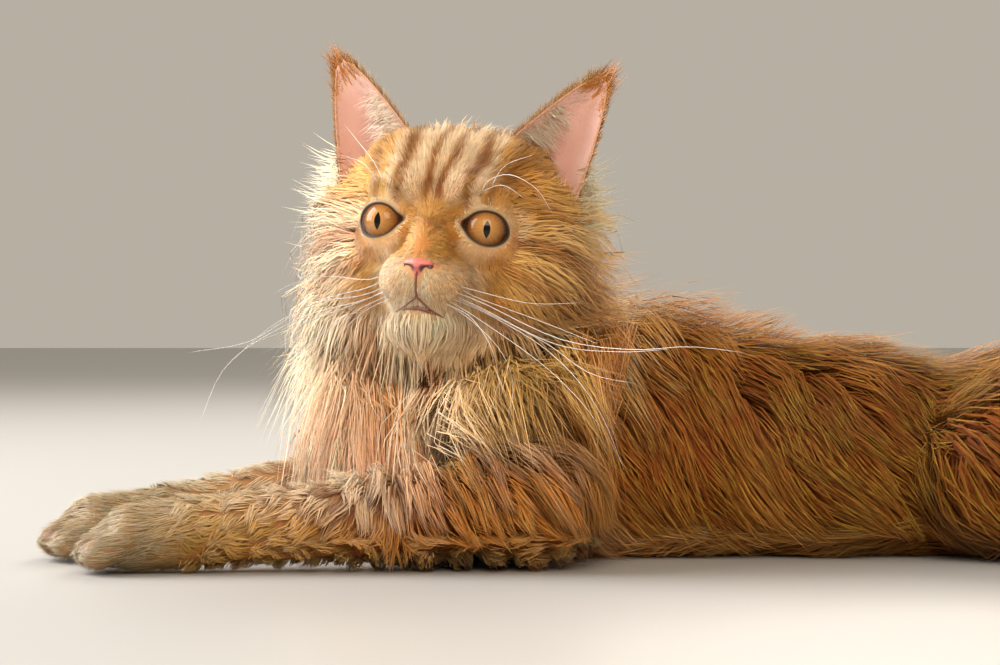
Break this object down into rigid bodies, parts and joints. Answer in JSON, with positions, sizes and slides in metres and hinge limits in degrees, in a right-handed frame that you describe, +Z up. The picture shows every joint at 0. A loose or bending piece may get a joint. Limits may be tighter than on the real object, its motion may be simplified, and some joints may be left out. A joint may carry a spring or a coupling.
{
  "type": "persian cat",
  "caption": "Life-size still model of a long-haired red tabby cat lying on its belly, forelegs stretched forwards, head turned to its left, tail curled on the floor.",
  "frame": {"origin": "on the floor, under the middle of the model's bounding box", "axes": "+Z up; the body points along -X from rump to chest, the cat's left side and its turned face look towards -Y"},
  "size_m": [0.6546, 0.2518, 0.2348],
  "materials": {
    "face_coat": "short soft fur, red tabby with cream muzzle and chin",
    "nose_leather": "bare pink nose, slightly moist",
    "eye": "copper iris with a slit pupil under a clear wet cornea",
    "ear": "thin pink ear skin with fine pale hair",
    "ruff_coat": "long soft ruff and chest fur, cream to orange",
    "body_coat": "long soft fur, deep orange with paler tips",
    "leg_coat": "short to medium dense fur, pale orange with darker bands",
    "tail_coat": "long bushy tail fur with soft rings"
  },
  "bodies": {
    "root": {"head": "face_coat", "nose": "nose_leather", "eye_left": "eye", "eye_right": "eye", "ear_left": "ear", "ear_right": "ear", "neck": "ruff_coat", "chest": "ruff_coat", "trunk": "body_coat", "foreleg_left": "leg_coat", "foreleg_right": "leg_coat", "forepaw_left": "leg_coat", "forepaw_right": "leg_coat", "thigh_left": "body_coat", "thigh_right": "body_coat", "hind_foot_left": "leg_coat", "hind_foot_right": "leg_coat", "tail_base": "tail_coat", "tail_middle": "tail_coat", "tail_tip": "tail_coat"}
  },
  "joints": []
}
